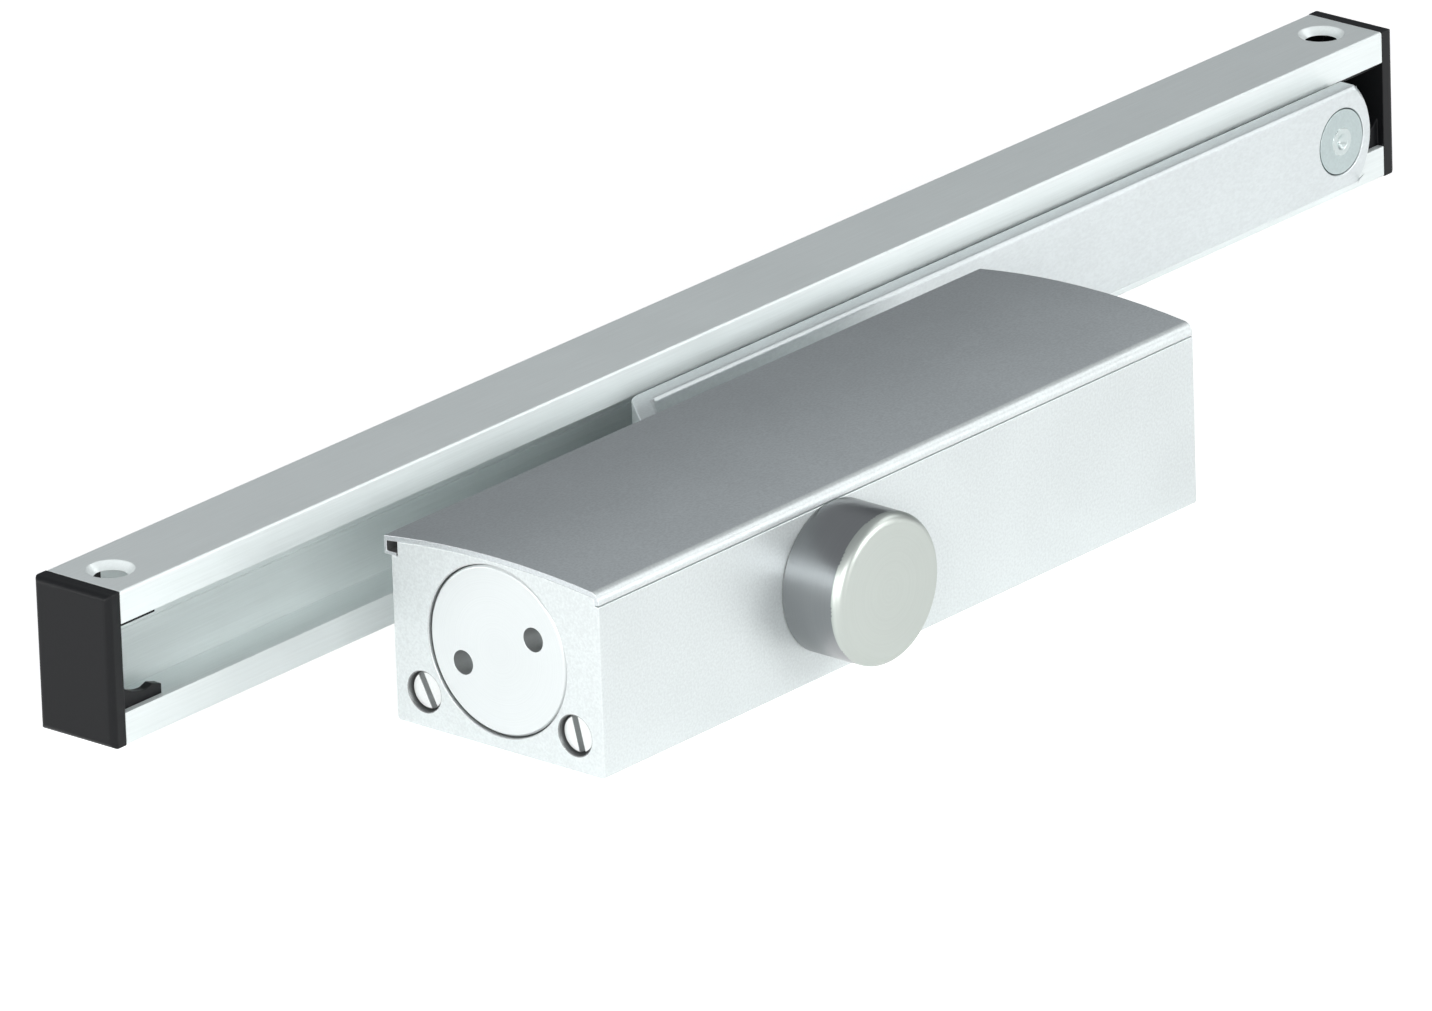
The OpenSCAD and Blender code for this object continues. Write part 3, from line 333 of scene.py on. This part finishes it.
def edged(node, material, width):
    """A copy of a CAD node with its edges rounded to a real broken edge; width is that of the edge."""
    same_point = 0.000002
    flat_within = math.radians(0.4)
    sharp_from = math.radians(28)
    steps = 3
    face_weight = 80
    mesh = frame["nodes"][node].data.copy()
    mesh.name = node + "_edged"
    shape = bmesh.new()
    shape.from_mesh(mesh)
    bmesh.ops.remove_doubles(shape, verts=shape.verts, dist=same_point)
    bmesh.ops.dissolve_limit(
        shape, angle_limit=flat_within, verts=shape.verts, edges=shape.edges,
        use_dissolve_boundaries=False,
    )
    shape.to_mesh(mesh)
    shape.free()
    piece = bpy.data.objects.new(node + "_edged", mesh)
    bpy.context.collection.objects.link(piece)
    if width:
        rounding = piece.modifiers.new("rounding", "BEVEL")
        rounding.width = width
        rounding.segments = steps
        rounding.limit_method = "ANGLE"
        rounding.angle_limit = sharp_from
        rounding.use_clamp_overlap = False
        rounding.miter_outer = "MITER_ARC"
    for polygon in mesh.polygons:
        polygon.use_smooth = True
    weigh = piece.modifiers.new("weigh", "WEIGHTED_NORMAL")
    weigh.keep_sharp = True
    weigh.weight = face_weight
    graph = bpy.context.evaluated_depsgraph_get()
    final = bpy.data.meshes.new_from_object(piece.evaluated_get(graph))
    final.name = node + "_edged"
    piece.modifiers.clear()
    piece.data = final
    bpy.data.meshes.remove(mesh)
    return settle(piece, node, [material])


def inside(piece, material, holes, lean=0.5):
    """Gives the walls of holes a darker material of their own, which paints the shade that falls in
    them.

    A hole is its axis, a point on it, its radius and its reach along the axis. lean is how far a face
    may lean out of the wall and still belong to it, so that it takes in the rim.
    """
    piece.data.materials.append(material)
    index = len(piece.data.materials) - 1
    for face in piece.data.polygons:
        for axis, centre, radius, reach in holes:
            across = [face.center[a] - centre[a] for a in range(3) if a != axis]
            depth = face.center[axis]
            on_wall = abs(face.normal[axis]) < lean
            if on_wall and math.hypot(*across) < radius and reach[0] < depth < reach[1]:
                face.material_index = index


silver_coat = surface_finish(
    "silver_coat", linear(218, 224, 224), 0.5, 0.4, (1700, 1700, 1700), 0.5, rubbed=0.25,
    drift=0.06, speckled=1.2,
)
# Painted shade: darker metals put on the walls of bores, holes, slots and gaps, where shade falls in
# them.
painted_recess_shade = surface_finish(
    "painted_recess_shade", linear(192, 195, 195), 0.8, 0.42, (900, 3000, 3000), 0.2, rubbed=0.5
)
shadowed_metal = surface_finish(
    "shadowed_metal", linear(140, 142, 142), 0.7, 0.42, (2500, 2500, 2500), 0.2, rubbed=0.4
)
housing = edged("housing", silver_coat, 0.00025)
x_axis, y_axis = 0, 1
bore_height = 0.023
body_half = 0.102
body_reach = (-body_half, body_half)
bore_centre = (0, 0, bore_height)
plug_bore = (x_axis, bore_centre, 0.0202, body_reach)
valve_across, valve_height, valve_bore_radius = 0.0218, 0.0084, 0.0055
valve_bores = [
    (x_axis, (0, side * valve_across, valve_height), valve_bore_radius, body_reach)
    for side in (-1, 1)
]
spindle_centre = (-0.024, 0, bore_height)
spindle_bore = (y_axis, spindle_centre, 0.0112, (-0.0299, 0.0299))
rim_lean = 0.97
# The walls and rims of the bores are painted darker, as the shade that falls in them.
inside(housing, painted_recess_shade, [plug_bore], rim_lean)
inside(housing, shadowed_metal, valve_bores, rim_lean)
inside(housing, painted_recess_shade, [spindle_bore])
hook_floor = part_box("cover")[0].z
step_y = 0.0279
shadowed_slot = 2
for face in housing.data.polygons:
    if face.center[1] > step_y and face.center[2] > hook_floor and face.normal[1] > 0.5:
        face.material_index = shadowed_slot

# Cover: a thin arched sheet of silver anodised aluminium snapped over the body. Its front edge is
# rolled down to the seam, and its rear edge is folded into a hooked rim.
cover_anodised = surface_finish(
    "cover_anodised", linear(211, 217, 219), 0.65, 0.34, (1500, 2000, 2000), 0.4, rubbed=0.35,
    drift=0.075, speckled=1.2,
)
cover = edged("cover", cover_anodised, 0.00012)
cover.data.materials.append(silver_coat)
cover.data.materials.append(shadowed_metal)
rolled_edge_y = -0.0279
hook_wall = 0.0008
hook_from_y, hook_to_y = 0.0283, 0.0314
# The rolled front edge takes the body's brighter silver coat as a painted highlight, and the inner
# faces of the hook take the shadowed metal as painted shade.
for face in cover.data.polygons:
    in_hook = hook_from_y < face.center[1] < hook_to_y and abs(face.normal[0]) < 0.5
    hook_ledge = face.normal[2] > 0.5 and face.center[2] < hook_floor + 1.5 * hook_wall
    hook_side = face.normal[2] < 0.5 and face.center[2] > hook_floor + 0.5 * hook_wall
    if face.center[1] < rolled_edge_y:
        face.material_index = 1
    elif in_hook and (hook_ledge or hook_side):
        face.material_index = 2

# End plugs: two turned aluminium plugs screwed flush into the ends of the piston bore, each with two
# blind holes for a pin spanner, and a rubber ring in a groove on each.
turned_plug = surface_finish(
    "turned_plug", linear(224, 229, 229), 0.5, 0.38, (3400, 600, 600), 0.15, rubbed=0.3,
    turned=(bore_centre, x_axis),
)
plug_depth = 0.0165
plug_side_radius = 0.019
spanner_lean = math.radians(-26)
spanner_reach = 0.0115
spanner_radius = 0.0032
spanner_from, spanner_to = 0.0012, 0.008
for end_plug, side in (("valve_end_plug", -1), ("spring_end_plug", 1)):
    plug = edged(end_plug, turned_plug, 0.00012)
    end_x = side * body_half
    deep = sorted((end_x, end_x - side * plug_depth))
    spanner_holes = []
    for way in (-1, 1):
        across = side * way * spanner_reach
        centre = (0, across * math.cos(spanner_lean), bore_height + across * math.sin(spanner_lean))
        spanner_holes.append((x_axis, centre, spanner_radius, deep))
    # The walls of the spanner holes and the plug's side in its gap take the darker metal, as painted
    # shade.
    inside(plug, painted_recess_shade, spanner_holes)
    for face in plug.data.polygons:
        from_axis = math.hypot(face.center[1], face.center[2] - bore_height)
        plug_side = abs(face.normal[0]) < 0.3 and from_axis > plug_side_radius
        in_spanner_hole = spanner_from < abs(face.center[0] - end_x) < spanner_to
        if plug_side or (in_spanner_hole and from_axis < plug_side_radius):
            face.material_index = 1
seal_rubber = surface_finish(
    "seal_rubber", linear(38, 38, 38), 0.0, 0.5, (1800, 1800, 1800), 0.2, rubbed=0.1
)
edged("plug_seals", seal_rubber, 0)

# Speed valves: two turned steel screws with slotted heads, one for closing and one for latching, each
# sealed by a rubber ring and set a little below the end face.
valve_steel = surface_finish(
    "valve_steel", linear(236, 239, 238), 0.6, 0.34, (2500, 2500, 2500), 0.12, rubbed=0.4
)
slot_floor_x = -0.1004
for valve in ("closing_speed_valve", "latching_speed_valve"):
    screw = edged(valve, valve_steel, 0.0001)
    screw.data.materials.append(painted_recess_shade)
    screw.data.materials.append(shadowed_metal)
    # The slot's floor and the rim of the head are painted darker, as the shade in the slot and in the
    # recess round the head.
    for face in screw.data.polygons:
        if face.center[0] > slot_floor_x:
            face.material_index = 1
        elif abs(face.normal[0]) < rim_lean:
            face.material_index = 2
for ring in ("closing_valve_seal", "latching_valve_seal"):
    edged(ring, seal_rubber, 0)

# Piston with its rack: one ground steel piece that slides in the bore, with a non-return ball under a
# pressed ring and a relief ball under a slotted screw in its head.
ground_steel = surface_finish(
    "ground_steel", linear(186, 189, 190), 0.9, 0.3, (3000, 700, 700), 0.12, rubbed=0.35
)
edged("piston", ground_steel, 0.00012)
for small in ("check_valve_retainer", "relief_valve_screw"):
    edged(small, ground_steel, 0.0001)
for ball in ("check_valve_ball", "relief_valve_ball"):
    edged(ball, ground_steel, 0)
edged("spring_seat", ground_steel, 0.0002)

# Bearings of the spindle: two drawn steel cups pressed into the cross bore, and two rubber lip seals
# that keep the oil in.
edged("bearing_cups", ground_steel, 0)
edged("shaft_seals", seal_rubber, 0.0001)


# Needles of the two bearings: hardened and ground rollers, eighteen to a cup, that stand in a ring
# round the spindle and roll between its ground journal and the cup.
def node_tree(name, sizes):
    """An empty Geometry Nodes tree with named number inputs; gives the tree and its input node."""
    tree = bpy.data.node_groups.new(name, "GeometryNodeTree")
    for label, value in sizes.items():
        whole = isinstance(value, int)
        socket = tree.interface.new_socket(
            label, in_out="INPUT", socket_type="NodeSocketInt" if whole else "NodeSocketFloat"
        )
        socket.default_value = value
    tree.interface.new_socket("Geometry", in_out="OUTPUT", socket_type="NodeSocketGeometry")
    return tree, tree.nodes.new("NodeGroupInput")


def grow(name, tree, made, material, sizes):
    """Ends a tree in real geometry with its material and gives the plain mesh of those sizes."""
    real = tree.nodes.new("GeometryNodeRealizeInstances")
    paint = tree.nodes.new("GeometryNodeSetMaterial")
    paint.inputs["Material"].default_value = material
    out = tree.nodes.new("NodeGroupOutput")
    tree.links.new(made, real.inputs["Geometry"])
    tree.links.new(real.outputs["Geometry"], paint.inputs["Geometry"])
    tree.links.new(paint.outputs["Geometry"], out.inputs["Geometry"])
    piece = bpy.data.objects.new(name, bpy.data.meshes.new(name + "_start"))
    bpy.context.collection.objects.link(piece)
    modifier = piece.modifiers.new("grow", "NODES")
    modifier.node_group = tree
    for item in tree.interface.items_tree:
        if item.in_out == "INPUT":
            modifier[item.identifier] = sizes[item.name]
    graph = bpy.context.evaluated_depsgraph_get()
    mesh = bpy.data.meshes.new_from_object(piece.evaluated_get(graph))
    mesh.name = name
    piece.modifiers.clear()
    piece.data = mesh
    return piece


needle_sizes = {
    "Needle Diameter": 0.002, "Needle Length": 0.0056, "Ring Radius": 0.00852, "Ring Offset": 0.0218,
    "Needles": 18,
}
roller_sides = 20
needle_tree, needle_in = node_tree("needle_rings", needle_sizes)
add, join_up = needle_tree.nodes.new, needle_tree.links.new
half_needle = add("ShaderNodeMath")
half_needle.operation = "MULTIPLY"
half_needle.inputs[1].default_value = 0.5
join_up(needle_in.outputs["Needle Diameter"], half_needle.inputs[0])
roller = add("GeometryNodeMeshCylinder")
roller.inputs["Vertices"].default_value = roller_sides
join_up(half_needle.outputs[0], roller.inputs["Radius"])
join_up(needle_in.outputs["Needle Length"], roller.inputs["Depth"])
ring = add("GeometryNodeMeshCircle")
join_up(needle_in.outputs["Needles"], ring.inputs["Vertices"])
join_up(needle_in.outputs["Ring Radius"], ring.inputs["Radius"])
stand = add("GeometryNodeInstanceOnPoints")
join_up(ring.outputs["Mesh"], stand.inputs["Points"])
join_up(roller.outputs["Mesh"], stand.inputs["Instance"])
both = add("GeometryNodeJoinGeometry")
for way in (-1, 1):
    reach_out = add("ShaderNodeMath")
    reach_out.operation = "MULTIPLY"
    reach_out.inputs[1].default_value = -way
    join_up(needle_in.outputs["Ring Offset"], reach_out.inputs[0])
    offset = add("ShaderNodeCombineXYZ")
    join_up(reach_out.outputs[0], offset.inputs["Z"])
    carry = add("GeometryNodeTransform")
    join_up(stand.outputs["Instances"], carry.inputs["Geometry"])
    join_up(offset.outputs[0], carry.inputs["Translation"])
    join_up(carry.outputs["Geometry"], both.inputs["Geometry"])
lay = add("GeometryNodeTransform")
lay.inputs["Rotation"].default_value = (math.radians(90), 0, 0)
lay.inputs["Translation"].default_value = spindle_centre
join_up(both.outputs["Geometry"], lay.inputs["Geometry"])
needles = grow("needle_rollers", needle_tree, lay.outputs["Geometry"], ground_steel, needle_sizes)
settle(needles, "bearing_needles", [ground_steel])

# Collars: two turned steel rings screwed into the ends of the cross bore. They hold the seals and the
# bearings, and their flanges lie on the body's sides.
edged("bearing_collars", ground_steel, 0.0002)

# Spindle cap: a round steel cap with a rolled rim, turned and plated in satin nickel. It is pressed
# over the collar at the unused end of the spindle.
satin_nickel = surface_finish(
    "satin_nickel", linear(190, 196, 191), 1.0, 0.42, (2600, 500, 2600), 0.14, rubbed=0.3,
    turned=(spindle_centre, y_axis),
)
# Painted shade: a darker copy of the nickel for the cap's round side, which the light leaves in shade.
cap_side_shade = surface_finish(
    "cap_side_shade", linear(146, 148, 150), 1.0, 0.3, (600, 3400, 600), 0.16, rubbed=0.3,
    turned=(spindle_centre, y_axis),
)
spindle_cap = edged("spindle_cap", satin_nickel, 0.0003)
spindle_cap.data.materials.append(cap_side_shade)
spindle_cap.data.materials.append(shadowed_metal)
cap_foot_y = -0.0304
# The round side takes the darker copy as painted shade, and the foot the shadowed metal as a painted
# contact shadow.
for face in spindle_cap.data.polygons:
    if face.center[1] > cap_foot_y:
        face.material_index = 2
    elif abs(face.normal[1]) < 0.05:
        face.material_index = 1

# Arm: a steel bar cranked out round the body, with a square socket on the spindle, in the same fine
# silver coating as the body.
arm_coat = surface_finish(
    "arm_coat", linear(219, 225, 226), 0.6, 0.42, (900, 1700, 1700), 0.4, rubbed=0.3,
    drift=0.045, speckled=1.0,
)
edged("arm", arm_coat, 0.0003)
spindle_steel = surface_finish(
    "spindle_steel", linear(130, 132, 134), 0.9, 0.32, (2600, 600, 2600), 0.12, rubbed=0.35
)
edged("pinion_spindle", spindle_steel, 0)
zinc_plate = surface_finish(
    "zinc_plate", linear(190, 203, 203), 0.6, 0.32, (1500, 1500, 1500), 0.12, drift=0.08, rubbed=0.35
)
for fastener in ("arm_washer", "arm_screw"):
    edged(fastener, zinc_plate, 0.00015)
bush_brass = surface_finish(
    "bush_brass", linear(200, 168, 108), 0.9, 0.36, (1500, 1500, 1500), 0.2, rubbed=0.3
)
edged("pin_bush", bush_brass, 0)

# Slider: a zinc-plated pin riveted through the arm's end carries a plastic block that runs in the
# track, kept on by a circlip, with a plastic washer between arm and block.
# Painted highlight: a brighter steel for the middle of the pin's head, where its dimple catches the
# light.
pin_head_highlight = surface_finish(
    "pin_head_highlight", linear(206, 216, 215), 0.7, 0.34, (1500, 1500, 1500), 0.12, rubbed=0.35
)
pin = edged("slide_pin", zinc_plate, 0.0001)
pin.data.materials.append(pin_head_highlight)
pin_x = 0.257
pin_highlight_radius = 0.0035
pin_head_back_y = 0.053
# The faces round the pin's axis on its head take the brighter steel as a painted highlight.
for face in pin.data.polygons:
    corners = [pin.data.vertices[v].co for v in face.vertices]
    reach = max(math.hypot(c.x - pin_x, c.z - bore_height) for c in corners)
    if reach < pin_highlight_radius and face.center[1] < pin_head_back_y:
        face.material_index = 1
washer_plastic = surface_finish(
    "washer_plastic", linear(226, 226, 220), 0.0, 0.45, (900, 900, 900), 0.1, rubbed=0.1
)
edged("pin_washer", washer_plastic, 0.0001)
block_plastic = surface_finish(
    "block_plastic", linear(206, 209, 206), 0.0, 0.4, (900, 900, 900), 0.1, rubbed=0.1
)
edged("slider_block", block_plastic, 0.0004)
edged("pin_circlip", spindle_steel, 0)

# Track: an open channel extruded in aluminium and satin anodised, with its slot towards the arm and a
# countersunk screw hole at each end.
track_anodised = surface_finish(
    "track_anodised", linear(243, 250, 249), 0.2, 0.36, (60, 3000, 3000), 0.25, rubbed=0.35
)
edged("track", track_anodised, 0.00018)

# End caps of the track: moulded black plastic, each with a rounded flange and two tongues that grip
# the channel's lips.
cap_plastic = surface_finish(
    "cap_plastic", linear(20, 21, 23), 0.0, 0.4, (1300, 1300, 1300), 0.25, rubbed=0.2, specular=0.22
)
for end_cap in ("left_end_cap", "right_end_cap"):
    edged(end_cap, cap_plastic, 0.0002)

# Main spring: oil-tempered steel wire wound in ten turns with closed ends. The piston presses it
# against its seat as the arm opens, which shortens it; here it is wound at one length, from the piston
# to its seat.
piston_end, seat_end = (corner.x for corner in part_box("main_spring"))
spring_length = seat_end - piston_end
spring_sizes = {
    "Wire Diameter": 0.0046, "Middle Radius": 0.0148, "Closed Pitch": 0.0052, "Turns": 10,
    "Length": spring_length, "Left End": piston_end,
}
steps_per_turn = 36
wire_sides = 16
spring_tree, spring_in = node_tree("wound_spring", spring_sizes)
add, join_up = spring_tree.nodes.new, spring_tree.links.new


def sum_up(kind, first, second):
    """One arithmetic node in the spring's tree; each side is an output or a number."""
    step = add("ShaderNodeMath")
    step.operation = kind
    for place, side in enumerate((first, second)):
        if isinstance(side, (int, float)):
            step.inputs[place].default_value = side
        else:
            join_up(side, step.inputs[place])
    return step.outputs[0]


wire = spring_in.outputs["Wire Diameter"]
closed = spring_in.outputs["Closed Pitch"]
turns = spring_in.outputs["Turns"]
coil = add("GeometryNodeCurveSpiral")
coil.inputs["Resolution"].default_value = steps_per_turn
coil.inputs["Height"].default_value = 0
join_up(turns, coil.inputs["Rotations"])
join_up(spring_in.outputs["Middle Radius"], coil.inputs["Start Radius"])
join_up(spring_in.outputs["Middle Radius"], coil.inputs["End Radius"])
along_wire = add("GeometryNodeSplineParameter")
turned_so_far = sum_up("MULTIPLY", along_wire.outputs["Factor"], turns)
between_ends = sum_up("SUBTRACT", spring_in.outputs["Length"], wire)
open_run = sum_up("SUBTRACT", between_ends, sum_up("MULTIPLY", closed, 2))
last_turn = sum_up("SUBTRACT", turns, 1)
spans = ((0, 1, closed), (1, last_turn, open_run), (last_turn, turns, closed))
climb = sum_up("ADD", spring_in.outputs["Left End"], sum_up("MULTIPLY", wire, 0.5))
for span_from, span_to, rise in spans:
    part = add("ShaderNodeMapRange")
    join_up(turned_so_far, part.inputs["Value"])
    for label, side in (("From Min", span_from), ("From Max", span_to), ("To Max", rise)):
        if isinstance(side, int):
            part.inputs[label].default_value = side
        else:
            join_up(side, part.inputs[label])
    climb = sum_up("ADD", climb, part.outputs["Result"])
at = add("GeometryNodeInputPosition")
apart = add("ShaderNodeSeparateXYZ")
join_up(at.outputs[0], apart.inputs[0])
wound = add("ShaderNodeCombineXYZ")
join_up(climb, wound.inputs["X"])
join_up(apart.outputs["X"], wound.inputs["Y"])
join_up(sum_up("ADD", apart.outputs["Y"], bore_height), wound.inputs["Z"])
laid = add("GeometryNodeSetPosition")
join_up(coil.outputs["Curve"], laid.inputs["Geometry"])
join_up(wound.outputs[0], laid.inputs["Position"])
section = add("GeometryNodeCurvePrimitiveCircle")
section.inputs["Resolution"].default_value = wire_sides
join_up(sum_up("MULTIPLY", wire, 0.5), section.inputs["Radius"])
tube = add("GeometryNodeCurveToMesh")
tube.inputs["Fill Caps"].default_value = True
join_up(laid.outputs["Geometry"], tube.inputs["Curve"])
join_up(section.outputs["Curve"], tube.inputs["Profile Curve"])
smooth = add("GeometryNodeSetShadeSmooth")
join_up(tube.outputs["Mesh"], smooth.inputs["Geometry"])
spring_wire = surface_finish(
    "spring_wire", linear(96, 98, 102), 0.85, 0.36, (1800, 1800, 1800), 0.2, rubbed=0.2
)
spring = grow("wound_spring", spring_tree, smooth.outputs["Geometry"], spring_wire, spring_sizes)
settle(spring, "main_spring", [spring_wire])
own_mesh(spring)
